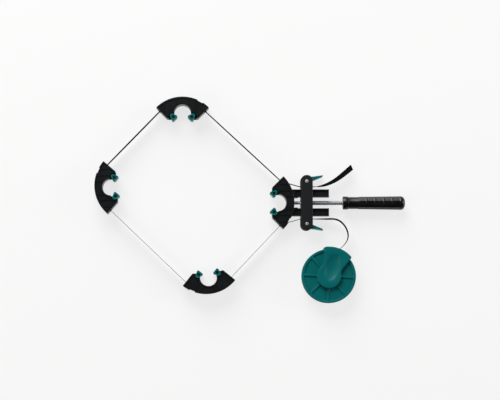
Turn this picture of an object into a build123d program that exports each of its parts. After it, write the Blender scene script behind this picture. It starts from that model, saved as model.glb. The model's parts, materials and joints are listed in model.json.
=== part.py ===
from build123d import *

import os
from math import atan2, cos, degrees, hypot, radians, sin, sqrt, tan

os.makedirs("parts", exist_ok=True)

# A strap clamp for frames: four corner jaws strung on one flat strap, and a
# screw tensioner that draws the strap's two ends away from the fixed jaw.
# X runs along the spindle towards the handle and Z is up. The origin is on
# the surface that the clamp lies on, in the middle of the fixed jaw's bridge.
# All sizes are in millimetres.

# Strap
STRAP_WIDTH = 16.0
STRAP_THICKNESS = 0.8
STRAP_GAP = 1.1
STRAP_END_GAP = 0.15

# Corner jaws
JAW_HEIGHT = 30.0
JAW_RADIUS = 65.5
JAW_HALF_ANGLE = 45.0
JAW_INNER_EDGE = 27.0
JAW_CORNER = 0.8
JAW_EDGE_ROUND = 0.7
RELIEF_RADIUS = 14.7
RELIEF_OFFSET = 37.0
CHANNEL_DEPTH = 8.5
CHANNEL_SIDE_ROOM = 0.5
MOUTH_LENGTH = 10.0
MOUTH_FLARE = 1.2
RIM_WIDTH = 2.6
PANEL_DEPTH = 1.2
RIB_WIDTH = 1.7
RIB_OFFSETS = (11.5, 21.5, 33.0)
NOTCH_START = 24.2
NOTCH_END = 32.9
NOTCH_DEPTH = 1.6
STRAP_TURN_ANGLE = 41.4
POST_RADIUS = 6.0
EXIT_SLOT_WIDTH = 3.0

# Swivelling pads on the jaws
PAD_PIN_RADIUS = 2.8
PAD_PIN_REACH = 29.75
PAD_PIN_OFFSET = 16.3
PAD_PIN_BELOW_TOP = 0.5
PAD_FACE_DISTANCE = 5.5
PAD_FACE_WIDTH = 14.2
PAD_BACK_DISTANCE = 6.5
PAD_CORNER = 2.5
PAD_BACK_CORNER = 2.25
PAD_SWING_ROOM = 0.5
PAD_SEAT_CLEARANCE = 0.3
PAD_GROOVE_DEPTH = 0.4
PAD_GROOVE_WIDTH = 0.8
PAD_GROOVE_PITCH = 2.2
LEDGE_HEIGHT = 4.0
LUG_WALL = 2.0

# Where the three loose jaws stand, and the way that each one faces
TOP_JAW_PLACE = (-189.3, 120.8)
TOP_JAW_HEADING = 90.0
LEFT_JAW_PLACE = (-277.8, 29.8)
LEFT_JAW_HEADING = 184.4
BOTTOM_JAW_PLACE = (-147.7, -94.6)
BOTTOM_JAW_HEADING = -83.7

# Guide rails of the fixed jaw
RAIL_WIDTH = 13.5
RAIL_HEIGHT = 20.0
RAIL_SPACING = 33.2
RAIL_LENGTH = 61.0
RAIL_GROOVE_DEPTH = 3.0
RAIL_WALL = 1.8
RAIL_ROOT = -2.0
GUSSET_WIDTH = 1.3
GUSSET_REACH = 6.4

# Crossbar, which rides on the rails
CROSSBAR_WIDTH = 21.0
CROSSBAR_SETBACK = 11.3
PLATE_THICKNESS = 2.5
PLATE_EDGE_ROUND = 0.8
BLOCK_INSET = 0.5
SLIDING_CLEARANCE = 0.35
CHEEK_THICKNESS = 4.1
PIN_RADIUS = 2.5
PIN_FROM_STRAP = 9.15
PLATE_PAST_PIN = 11.3
PIN_HEAD_RADIUS = 3.0
PIN_HEAD_HEIGHT = 1.0
PIN_HEAD_ROUND = 0.7
RUNNING_CLEARANCE = 0.05
SCREW_RADIUS = 1.6
SCREW_HEAD_RADIUS = 3.0
SCREW_LENGTH = 8.0
SCREW_SPACING = 12.0
SCREW_INSET = 4.0

# Cam levers, which pinch the strap
LEVER_CLEARANCE = 0.3
CAM_RADIUS = 7.7
CAM_THROW = 1.5
CAM_THROW_ANGLE = -30.0
CAM_TEETH = 9
CAM_TEETH_MIDDLE = -95.5
CAM_TOOTH_PITCH = 11.0
CAM_TOOTH_DEPTH = 0.5
LEVER_TIP_REACH = 28.5
LEVER_TIP_RISE = 11.3
LEVER_TIP_WIDTH = 3.0
LEVER_TIP_SLANT = 0.8
LEVER_ROOT_REACH = 8.2
LEVER_ROOT_RISE = 8.5
LEVER_ROOT_WIDTH = 6.9
LEVER_NECK_RISE = 6.2
LEVER_GRIP_GROOVES = 7
LEVER_GRIP_DEPTH = 0.7
LEVER_GRIP_START = 1.5
SPRING_WIRE = 0.9
SPRING_RADIUS = 4.0
SPRING_TURNS = 3
SPRING_TOP_ROOM = 0.7

# Spindle and handle
SPINDLE_RADIUS = 4.0
PILOT_RADIUS = 2.75
SEAT_DEPTH = 9.0
THRUST_DISC_THICKNESS = 1.5
KEEPER_RADIUS = 1.5
KEEPER_DEPTH = 2.6
KEEPER_TOP = 19.0
KEEPER_BOTTOM = 2.0
GROOVE_RADIUS = 1.95
GROOVE_WIDTH = 3.4
NUT_ACROSS_FLATS = 13.0
NUT_LENGTH = 12.0
HANDLE_SETBACK = 85.6
HANDLE_LENGTH = 110.0
SPINDLE_IN_HANDLE = 45.0
COLLAR_LENGTH = 9.3
COLLAR_RADIUS = 11.5
NECK_LENGTH = 17.6
NECK_RADIUS = 10.5
BODY_RADIUS = 12.1
HANDLE_END_ROUND = 5.5
HANDLE_END_BLEND = 3.3
COLLAR_ROUND = 1.0
FLUTE_COUNT = 8
FLUTE_ROWS = 5
FLUTE_LENGTH = 13.6
FLUTE_PITCH = 15.0
FLUTE_DEPTH = 0.9
FLUTE_START = 26.5

# Strap reel
REEL_PLACE = (67.2, -128.7)
FLANGE_RADIUS = 47.3
FLANGE_THICKNESS = 1.5
REEL_HUB_RADIUS = 18.0
REEL_RIM_WIDTH = 4.4
REEL_RIB_COUNT = 8
REEL_RIB_WIDTH = 4.0
REEL_RIB_TURN = -3.0
REEL_RIB_HEIGHT = 1.8
REEL_RIB_ROUND = 0.7
COIL_RADIUS = 38.0
COIL_CLEARANCE = 0.3
FLANGE_GAP = 19.6
GUIDE_PLATE = 2.4
GUIDE_CLEARANCE = 0.4
GUIDE_RADIUS = 51.5
GUIDE_WALL = 3.6
GUIDE_START = 39.0
GUIDE_END = 99.0
GUIDE_TOP_THICKNESS = 4.6
BOSS_RADIUS = 21.3
BOSS_JOIN_START = 21.0
BOSS_JOIN_END = 114.6
GUIDE_EDGE_ROUND = 1.2
FAN_CORNER = 3.0
BOSS_BLEND = 14.0
DISH_LENGTH = 48.0
DISH_WIDTH = 26.0
DISH_DEPTH = 3.4
DISH_TURN = 73.0
DISH_PLACE = (6.0, 14.9)
AXLE_RADIUS = 6.0
REEL_SCREW_RADIUS = 2.0
REEL_SCREW_HEAD = 4.5
REEL_SCREW_SUNK = 0.6
REEL_SCREW_GRIP = 0.85

# The two free stretches of strap, as points chosen by hand: the tail's and the
# feed's first points lie off the crossbar's far side, the feed's others off the
# reel's middle
TAIL_POINTS = ((0.0, 0.0), (18.6, 1.6), (37.8, 9.7), (54.0, 21.4), (69.5, 34.6))
FEED_START = ((0.0, 0.0), (21.8, 0.1))
FEED_END = ((16.6, 100.9), (31.0, 87.4), (36.3, 69.5), (29.1, 55.1), (20.4, 47.9))

# Sizes that follow from the ones above
MID = JAW_HEIGHT / 2
STRAP_RADIUS = JAW_RADIUS - CHANNEL_DEPTH
STRAP_BOTTOM = MID - STRAP_WIDTH / 2
CHANNEL_HALF = STRAP_THICKNESS / 2 + STRAP_GAP
CHANNEL_BOTTOM = STRAP_BOTTOM - CHANNEL_SIDE_ROOM
CHANNEL_HEIGHT = STRAP_WIDTH + 2 * CHANNEL_SIDE_ROOM
FIXED_JAW_X = -(RELIEF_OFFSET + RELIEF_RADIUS + JAW_RADIUS) / 2
BRIDGE_BACK = FIXED_JAW_X + JAW_RADIUS
PAD_SWING = PAD_CORNER + hypot(PAD_FACE_WIDTH / 2 - PAD_CORNER, PAD_FACE_DISTANCE - PAD_CORNER)
POCKET_RADIUS = PAD_SWING + PAD_SWING_ROOM
PAD_PIN_POINTS = ((PAD_PIN_REACH, PAD_PIN_OFFSET), (PAD_PIN_REACH, -PAD_PIN_OFFSET))
RAIL_OUTER = RAIL_SPACING / 2 + RAIL_WIDTH / 2
RAIL_INNER = RAIL_SPACING / 2 - RAIL_WIDTH / 2
RAIL_BOTTOM = MID - RAIL_HEIGHT / 2
RAIL_END = BRIDGE_BACK + RAIL_LENGTH
CROSSBAR_NEAR = BRIDGE_BACK + CROSSBAR_SETBACK
CROSSBAR_X = CROSSBAR_NEAR + CROSSBAR_WIDTH / 2
CROSSBAR_FAR = CROSSBAR_NEAR + CROSSBAR_WIDTH
CHEEK_FACE = RAIL_OUTER + SLIDING_CLEARANCE + CHEEK_THICKNESS
STRAP_Y = CHEEK_FACE + STRAP_THICKNESS / 2
BLOCK_BOTTOM = PLATE_THICKNESS
BLOCK_HEIGHT = JAW_HEIGHT - 2 * PLATE_THICKNESS
PIN_Y = STRAP_Y + PIN_FROM_STRAP
CROSSBAR_LENGTH = 2 * (PIN_Y + PLATE_PAST_PIN)
SCREW_X = CROSSBAR_NEAR + SCREW_INSET
SCREW_POINTS = ((SCREW_X, SCREW_SPACING / 2), (SCREW_X, -SCREW_SPACING / 2))
LEVER_BOTTOM = PLATE_THICKNESS + LEVER_CLEARANCE
SPRING_HEIGHT = SPRING_TURNS * SPRING_WIRE
LEVER_HEIGHT = BLOCK_HEIGHT - 2 * LEVER_CLEARANCE - SPRING_HEIGHT - SPRING_TOP_ROOM
SPRING_BOTTOM = LEVER_BOTTOM + LEVER_HEIGHT + LEVER_CLEARANCE
PILOT_TIP = BRIDGE_BACK - SEAT_DEPTH + THRUST_DISC_THICKNESS
KEEPER_X = BRIDGE_BACK - KEEPER_DEPTH - GROOVE_WIDTH / 2
KEEPER_Y = GROOVE_RADIUS + KEEPER_RADIUS + RUNNING_CLEARANCE
SPOOL_BOTTOM = GUIDE_PLATE + GUIDE_CLEARANCE
FRONT_FLANGE_BOTTOM = MID + FLANGE_GAP / 2
REAR_FLANGE_TOP = MID - FLANGE_GAP / 2
FRONT_FLANGE_TOP = FRONT_FLANGE_BOTTOM + FLANGE_THICKNESS + REEL_RIB_HEIGHT
GUIDE_TOP_BOTTOM = FRONT_FLANGE_TOP + GUIDE_CLEARANCE
GUIDE_INNER = GUIDE_RADIUS - GUIDE_WALL
WALL_START = GUIDE_START + degrees(FAN_CORNER / GUIDE_RADIUS)
WALL_END = GUIDE_END - degrees(FAN_CORNER / GUIDE_RADIUS)
DISH_ROUND = ((DISH_WIDTH / 2) ** 2 + DISH_DEPTH**2) / (2 * DISH_DEPTH)
DISH_RISE = DISH_ROUND - DISH_DEPTH
DISH_HALF = DISH_LENGTH / 2 / sqrt(1 - (DISH_RISE / DISH_ROUND) ** 2)
HANDLE_START = BRIDGE_BACK + HANDLE_SETBACK
TAIL_ROUTE = [(CROSSBAR_FAR + x, STRAP_Y + y) for x, y in TAIL_POINTS]
FEED_ROUTE = [(CROSSBAR_FAR + x, -STRAP_Y - y) for x, y in FEED_START] + [
    (REEL_PLACE[0] + x, REEL_PLACE[1] + y) for x, y in FEED_END
]


def polar(radius, angle):
    """A point at a radius and an angle in degrees."""
    return (radius * cos(radians(angle)), radius * sin(radians(angle)))


def turned(point, angle, place=(0.0, 0.0)):
    """A point turned by an angle in degrees and then moved to a place."""
    x, y = point
    c, s = cos(radians(angle)), sin(radians(angle))
    return (place[0] + c * x - s * y, place[1] + s * x + c * y)


def strip(start, end, width):
    """The four corners of a straight strip between two points."""
    length = hypot(end[0] - start[0], end[1] - start[1])
    across = (-(end[1] - start[1]) / length * width / 2, (end[0] - start[0]) / length * width / 2)
    return (
        (start[0] + across[0], start[1] + across[1]),
        (start[0] - across[0], start[1] - across[1]),
        (end[0] - across[0], end[1] - across[1]),
        (end[0] + across[0], end[1] + across[1]),
    )


def between(start, end, distance):
    """The point at a distance from the start towards the end."""
    length = hypot(end[0] - start[0], end[1] - start[1])
    share = distance / length
    return (start[0] + (end[0] - start[0]) * share, start[1] + (end[1] - start[1]) * share)


def corner_radii(points):
    """The radius of each bend of a route, as large as its two runs allow."""
    radii = []
    for before, here, after in zip(points, points[1:], points[2:]):
        run_in = hypot(here[0] - before[0], here[1] - before[1])
        run_out = hypot(after[0] - here[0], after[1] - here[1])
        turn = Vector(here[0] - before[0], here[1] - before[1]).get_angle(
            Vector(after[0] - here[0], after[1] - here[1])
        )
        radii.append(0.45 * min(run_in, run_out) / tan(radians(turn) / 2))
    return radii


def jaw_plane(place, heading):
    """A jaw's plane: the arc's centre, with X pointing out along the bisector."""
    return Plane(origin=(*place, 0), x_dir=(*polar(1.0, heading), 0), z_dir=(0, 0, 1))


def finish(part, label):
    """Name a finished piece and write it."""
    part.label = label
    export_step(part, f"parts/{label}.step")


# The strap leaves the fixed jaw's channel round an outer post and runs to the
# crossbar. Both points are in the fixed jaw's own plane.
TURN_POINT = polar(STRAP_RADIUS, STRAP_TURN_ANGLE)
CROSSBAR_POINT = (CROSSBAR_NEAR - FIXED_JAW_X, STRAP_Y)


def leaving_distance(radius):
    """How far from the turn point the leaving strap crosses a radius."""
    ux = (CROSSBAR_POINT[0] - TURN_POINT[0]) / hypot(
        CROSSBAR_POINT[0] - TURN_POINT[0], CROSSBAR_POINT[1] - TURN_POINT[1]
    )
    uy = (CROSSBAR_POINT[1] - TURN_POINT[1]) / hypot(
        CROSSBAR_POINT[0] - TURN_POINT[0], CROSSBAR_POINT[1] - TURN_POINT[1]
    )
    along = TURN_POINT[0] * ux + TURN_POINT[1] * uy
    square = TURN_POINT[0] ** 2 + TURN_POINT[1] ** 2 - radius**2
    return -along + sqrt(along**2 - square)


def jaw_outline(inset):
    """The jaw's sector seen from above, its edges moved in by an inset."""
    corner = JAW_INNER_EDGE * tan(radians(JAW_HALF_ANGLE))
    with BuildSketch() as outline:
        with BuildLine():
            arc = CenterArc((0, 0), JAW_RADIUS, -JAW_HALF_ANGLE, 2 * JAW_HALF_ANGLE)
            Polyline(arc @ 1, (JAW_INNER_EDGE, corner), (JAW_INNER_EDGE, -corner), arc @ 0)
        make_face()
        fillet(outline.vertices(), JAW_CORNER)
        if inset > 0:
            offset(amount=-inset, mode=Mode.REPLACE)
    return outline.sketch


def arc_band(inner, outer, start, end):
    """A band between two radii, from one angle to another."""
    with BuildSketch() as band:
        with BuildLine():
            far = CenterArc((0, 0), outer, start, end - start)
            near = CenterArc((0, 0), inner, start, end - start)
            Line(far @ 0, near @ 0)
            Line(far @ 1, near @ 1)
        make_face()
    return band.sketch


def make_jaw(label, place, heading, fixed=False):
    """A corner jaw. The fixed one also carries the rails and the spindle's seat."""
    plane = jaw_plane(place, heading)
    channel_plane = plane.offset(CHANNEL_BOTTOM)
    channel_inner = STRAP_RADIUS - CHANNEL_HALF
    channel_outer = STRAP_RADIUS + CHANNEL_HALF
    exit_end = between(TURN_POINT, CROSSBAR_POINT, leaving_distance(JAW_RADIUS) + EXIT_SLOT_WIDTH)
    mouth_angle = JAW_HALF_ANGLE - degrees(MOUTH_LENGTH / STRAP_RADIUS)
    past_end = JAW_HALF_ANGLE + degrees(STRAP_GAP / STRAP_RADIUS)
    with BuildPart(plane) as jaw:
        with BuildSketch(plane):
            add(jaw_outline(0))
            with Locations((RELIEF_OFFSET, 0)):
                Circle(RELIEF_RADIUS, mode=Mode.SUBTRACT)
        extrude(amount=JAW_HEIGHT)
        fillet(
            jaw.edges().filter_by(Plane.XY).group_by(Axis.Z)[0]
            + jaw.edges().filter_by(Plane.XY).group_by(Axis.Z)[-1],
            JAW_EDGE_ROUND,
        )
        with BuildSketch(plane.offset(JAW_HEIGHT - PANEL_DEPTH)):
            add(jaw_outline(RIM_WIDTH))
            with Locations((RELIEF_OFFSET, 0)):
                Circle(RELIEF_RADIUS + RIM_WIDTH, mode=Mode.SUBTRACT)
            with Locations(*PAD_PIN_POINTS):
                Circle(POCKET_RADIUS + RIM_WIDTH / 2, mode=Mode.SUBTRACT)
            for rib in RIB_OFFSETS:
                with Locations((JAW_RADIUS / 2, rib), (JAW_RADIUS / 2, -rib)):
                    Rectangle(JAW_RADIUS, RIB_WIDTH, mode=Mode.SUBTRACT)
        extrude(amount=PANEL_DEPTH, mode=Mode.SUBTRACT)
        with BuildSketch(channel_plane):
            if fixed:
                add(arc_band(channel_inner, channel_outer, mouth_angle, past_end))
                add(arc_band(channel_inner, channel_outer, -past_end, -mouth_angle))
            else:
                add(arc_band(channel_inner, channel_outer, -past_end, past_end))
            for side in (1, -1):
                mouth = (
                    polar(channel_inner, side * mouth_angle),
                    polar(channel_inner - MOUTH_FLARE, side * past_end),
                    polar(channel_outer + MOUTH_FLARE, side * past_end),
                    polar(channel_outer, side * mouth_angle),
                )
                Polygon(*mouth, align=None)
                leaving = [(x, side * y) for x, y in strip(TURN_POINT, exit_end, EXIT_SLOT_WIDTH)]
                Polygon(*leaving, align=None)
        extrude(amount=CHANNEL_HEIGHT, mode=Mode.SUBTRACT)
        with BuildSketch(plane):
            add(arc_band(JAW_RADIUS - NOTCH_DEPTH, JAW_RADIUS + NOTCH_DEPTH, -NOTCH_END, -NOTCH_START))
        extrude(amount=JAW_HEIGHT, mode=Mode.SUBTRACT)
        with BuildSketch(plane):
            with Locations(*PAD_PIN_POINTS):
                Circle(PAD_PIN_RADIUS + LUG_WALL)
        extrude(amount=LEDGE_HEIGHT)
        with BuildSketch(plane.offset(LEDGE_HEIGHT)):
            with Locations(*PAD_PIN_POINTS):
                Circle(POCKET_RADIUS)
        extrude(amount=JAW_HEIGHT, mode=Mode.SUBTRACT)
        with BuildSketch(plane):
            with Locations(*PAD_PIN_POINTS):
                Circle(PAD_PIN_RADIUS)
        extrude(amount=LEDGE_HEIGHT, mode=Mode.SUBTRACT)
        if fixed:
            rail_length = RAIL_END - RAIL_ROOT
            rail_middle = (RAIL_END + RAIL_ROOT) / 2
            with BuildSketch(Plane.XY.offset(RAIL_BOTTOM)):
                with Locations((rail_middle, RAIL_SPACING / 2), (rail_middle, -RAIL_SPACING / 2)):
                    Rectangle(rail_length, RAIL_WIDTH)
                with Locations((BRIDGE_BACK, RAIL_INNER), (BRIDGE_BACK, -RAIL_INNER)):
                    Rectangle(2 * GUSSET_REACH, 2 * GUSSET_WIDTH)
            extrude(amount=RAIL_HEIGHT)
            groove_start = BRIDGE_BACK + RAIL_WALL
            groove_middle = (groove_start + RAIL_END) / 2
            for bottom in (RAIL_BOTTOM, RAIL_BOTTOM + RAIL_HEIGHT - RAIL_GROOVE_DEPTH):
                with BuildSketch(Plane.XY.offset(bottom)):
                    with Locations((groove_middle, RAIL_SPACING / 2), (groove_middle, -RAIL_SPACING / 2)):
                        Rectangle(RAIL_END - groove_start, RAIL_WIDTH - 2 * RAIL_WALL)
                extrude(amount=RAIL_GROOVE_DEPTH, mode=Mode.SUBTRACT)
            with BuildSketch(Plane.YZ.offset(BRIDGE_BACK - SEAT_DEPTH)):
                with Locations((0, MID)):
                    Circle(PILOT_RADIUS + RUNNING_CLEARANCE)
            extrude(amount=SEAT_DEPTH + RAIL_WALL, mode=Mode.SUBTRACT)
            with BuildSketch(Plane.XY):
                with Locations((KEEPER_X, KEEPER_Y)):
                    Circle(KEEPER_RADIUS)
            extrude(amount=KEEPER_TOP, mode=Mode.SUBTRACT)
    finish(jaw.part, label)


def make_pad(label, plane, side):
    """A rounded triangular pad on its pin, its flat face square to the frame's edge."""
    pin = plane.from_local_coords((PAD_PIN_REACH, side * PAD_PIN_OFFSET, LEDGE_HEIGHT + PAD_SEAT_CLEARANCE))
    toward = plane.from_local_coords((0, 0, 0)) - plane.from_local_coords((1, side, 0))
    pad_plane = Plane(origin=pin, x_dir=toward.normalized(), z_dir=(0, 0, 1))
    height = JAW_HEIGHT - LEDGE_HEIGHT - PAD_SEAT_CLEARANCE
    with BuildPart(pad_plane) as pad:
        with BuildSketch(pad_plane) as profile:
            with BuildLine():
                Polyline(
                    (PAD_FACE_DISTANCE, PAD_FACE_WIDTH / 2),
                    (-PAD_BACK_DISTANCE, PAD_CORNER),
                    (-PAD_BACK_DISTANCE, -PAD_CORNER),
                    (PAD_FACE_DISTANCE, -PAD_FACE_WIDTH / 2),
                    close=True,
                )
            make_face()
            fillet(profile.vertices().group_by(Axis.X)[-1], PAD_CORNER)
            fillet(profile.vertices().group_by(Axis.X)[0], PAD_BACK_CORNER)
            Circle(PAD_PIN_RADIUS + RUNNING_CLEARANCE, mode=Mode.SUBTRACT)
            grooves = [(PAD_FACE_DISTANCE, n * PAD_GROOVE_PITCH) for n in (-1, 0, 1)]
            with Locations(*grooves):
                Rectangle(2 * PAD_GROOVE_DEPTH, PAD_GROOVE_WIDTH, mode=Mode.SUBTRACT)
        extrude(amount=height)
    finish(pad.part, label)


def make_pad_pins(label, plane):
    """The pair of pins that hold a jaw's pads."""
    with BuildPart(plane) as pins:
        with BuildSketch(plane):
            with Locations(*PAD_PIN_POINTS):
                Circle(PAD_PIN_RADIUS)
        extrude(amount=JAW_HEIGHT - PAD_PIN_BELOW_TOP)
    finish(pins.part, label)


def make_strap_bend(label, plane):
    """The strap where it lies round a loose jaw, inside the jaw's channel."""
    with BuildPart(plane) as bend:
        with BuildSketch(plane.offset(STRAP_BOTTOM)):
            add(
                arc_band(
                    STRAP_RADIUS - STRAP_THICKNESS / 2,
                    STRAP_RADIUS + STRAP_THICKNESS / 2,
                    -JAW_HALF_ANGLE,
                    JAW_HALF_ANGLE,
                )
            )
        extrude(amount=STRAP_WIDTH)
    finish(bend.part, label)


def make_strap_run(label, start, end):
    """A straight run of strap between two jaws, just clear of what it meets."""
    near = between(start, end, STRAP_END_GAP)
    far = between(end, start, STRAP_END_GAP)
    with BuildPart() as run:
        with BuildSketch(Plane.XY.offset(STRAP_BOTTOM)):
            Polygon(*strip(near, far, STRAP_THICKNESS), align=None)
        extrude(amount=STRAP_WIDTH)
    finish(run.part, label)


def make_strap_route(label, points, radii):
    """Strap standing on edge along a route with rounded corners."""
    with BuildPart() as route:
        with BuildSketch(Plane.XY.offset(STRAP_BOTTOM)):
            with BuildLine():
                line = FilletPolyline(*points, radius=radii)
            trace(line_width=STRAP_THICKNESS)
        extrude(amount=STRAP_WIDTH)
    length = route.part.volume / (STRAP_WIDTH * STRAP_THICKNESS)
    print(f"{label}: {length:.1f} mm long, bends {[round(r, 1) for r in radii]}")
    finish(route.part, label)


# Jaws, pads and pins
fixed_place = (FIXED_JAW_X, 0.0)
jaws = {
    "top": (TOP_JAW_PLACE, TOP_JAW_HEADING),
    "left": (LEFT_JAW_PLACE, LEFT_JAW_HEADING),
    "bottom": (BOTTOM_JAW_PLACE, BOTTOM_JAW_HEADING),
    "fixed": (fixed_place, 0.0),
}
for jaw_name, (place, heading) in jaws.items():
    own_plane = jaw_plane(place, heading)
    make_jaw(f"jaw_{jaw_name}", place, heading, fixed=jaw_name == "fixed")
    make_pad(f"pad_{jaw_name}_a", own_plane, 1)
    make_pad(f"pad_{jaw_name}_b", own_plane, -1)
    make_pad_pins(f"pad_pins_{jaw_name}", own_plane)
    if jaw_name != "fixed":
        make_strap_bend(f"strap_bend_{jaw_name}", own_plane)

# Straight runs of strap, from the end face of one jaw to the next


def entry(jaw_name, side):
    """Where the strap enters a jaw: side 1 is its left end seen from outside."""
    place, heading = jaws[jaw_name]
    return turned(polar(STRAP_RADIUS, side * JAW_HALF_ANGLE), heading, place)


make_strap_run("strap_run_upper_left", entry("left", -1), entry("top", 1))
make_strap_run("strap_run_upper_right", entry("top", -1), entry("fixed", 1))
make_strap_run("strap_run_lower_left", entry("left", 1), entry("bottom", -1))
make_strap_run("strap_run_lower_right", entry("bottom", 1), entry("fixed", -1))

# The strap round the fixed jaw's posts, on to the crossbar and through it
exit_point = between(TURN_POINT, CROSSBAR_POINT, leaving_distance(JAW_RADIUS))
inner_entry = polar(STRAP_RADIUS, JAW_HALF_ANGLE)
for side_name, side in (("upper", 1), ("lower", -1)):
    turn_route = [
        (x + FIXED_JAW_X, side * y) for x, y in (inner_entry, TURN_POINT, exit_point)
    ]
    make_strap_route(f"strap_turn_{side_name}", turn_route, [POST_RADIUS])
    make_strap_run(
        f"strap_stretch_{side_name}",
        turn_route[-1],
        (CROSSBAR_NEAR, side * STRAP_Y),
    )
    with BuildPart() as strap_grip:
        with BuildSketch(Plane.XY.offset(STRAP_BOTTOM)):
            with Locations((CROSSBAR_X, side * STRAP_Y)):
                Rectangle(CROSSBAR_WIDTH - 2 * STRAP_END_GAP, STRAP_THICKNESS)
        extrude(amount=STRAP_WIDTH)
    finish(strap_grip.part, f"strap_grip_{side_name}")

make_strap_route("strap_tail", TAIL_ROUTE, corner_radii(TAIL_ROUTE))
make_strap_route("strap_feed", FEED_ROUTE, corner_radii(FEED_ROUTE))

# Crossbar plates: the lower one is countersunk for the two screws
for plate_name, plate_bottom in (("bottom", 0.0), ("top", JAW_HEIGHT - PLATE_THICKNESS)):
    with BuildPart() as crossbar_plate:
        with BuildSketch(Plane.XY.offset(plate_bottom)):
            with Locations((CROSSBAR_X, 0)):
                SlotOverall(CROSSBAR_LENGTH, CROSSBAR_WIDTH, rotation=90)
            with Locations((CROSSBAR_X, PIN_Y), (CROSSBAR_X, -PIN_Y)):
                Circle(PIN_RADIUS, mode=Mode.SUBTRACT)
        extrude(amount=PLATE_THICKNESS)
        outer_face = crossbar_plate.faces().sort_by(Axis.Z)[-1 if plate_name == "top" else 0]
        fillet(outer_face.outer_wire().edges(), PLATE_EDGE_ROUND)
        if plate_name == "bottom":
            with Locations(*[Location((x, y, 0), (180, 0, 0)) for x, y in SCREW_POINTS]):
                CounterSinkHole(SCREW_RADIUS, SCREW_HEAD_RADIUS, PLATE_THICKNESS)
    finish(crossbar_plate.part, f"crossbar_{plate_name}_plate")

# Slider block: two tunnels for the rails, the spindle's way and the nut's pocket
with BuildPart() as slider_block:
    with BuildSketch(Plane.XY.offset(BLOCK_BOTTOM)):
        with Locations((CROSSBAR_X, 0)):
            Rectangle(CROSSBAR_WIDTH - 2 * BLOCK_INSET, 2 * CHEEK_FACE)
    extrude(amount=BLOCK_HEIGHT)
    with BuildSketch(Plane.YZ.offset(CROSSBAR_NEAR)):
        with Locations((RAIL_SPACING / 2, MID), (-RAIL_SPACING / 2, MID)):
            Rectangle(RAIL_WIDTH + 2 * SLIDING_CLEARANCE, RAIL_HEIGHT + 2 * SLIDING_CLEARANCE)
        with Locations((0, MID)):
            Circle(SPINDLE_RADIUS + SLIDING_CLEARANCE)
    extrude(amount=CROSSBAR_WIDTH, mode=Mode.SUBTRACT)
    with BuildSketch(Plane.YZ.offset(CROSSBAR_FAR - BLOCK_INSET - NUT_LENGTH)):
        with Locations((0, MID)):
            RegularPolygon(NUT_ACROSS_FLATS / 2, 6, major_radius=False)
    extrude(amount=NUT_LENGTH, mode=Mode.SUBTRACT)
    with BuildSketch(Plane.XY.offset(BLOCK_BOTTOM)):
        with Locations(*SCREW_POINTS):
            Circle(SCREW_RADIUS)
    extrude(amount=SCREW_LENGTH - PLATE_THICKNESS, mode=Mode.SUBTRACT)
finish(slider_block.part, "slider_block")

with BuildPart() as spindle_nut:
    with BuildSketch(Plane.YZ.offset(CROSSBAR_FAR - BLOCK_INSET - NUT_LENGTH)):
        with Locations((0, MID)):
            RegularPolygon(NUT_ACROSS_FLATS / 2, 6, major_radius=False)
            Circle(SPINDLE_RADIUS + RUNNING_CLEARANCE, mode=Mode.SUBTRACT)
    extrude(amount=NUT_LENGTH)
finish(spindle_nut.part, "spindle_nut")

# Two countersunk screws hold the lower plate to the block
with BuildPart() as crossbar_screws:
    head_height = SCREW_HEAD_RADIUS - SCREW_RADIUS
    with BuildSketch(Plane.XY):
        with Locations(*SCREW_POINTS):
            Circle(SCREW_RADIUS)
    extrude(amount=SCREW_LENGTH)
    with Locations(*[(x, y, head_height / 2) for x, y in SCREW_POINTS]):
        Cone(SCREW_HEAD_RADIUS, SCREW_RADIUS, head_height)
finish(crossbar_screws.part, "crossbar_screws")

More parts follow.
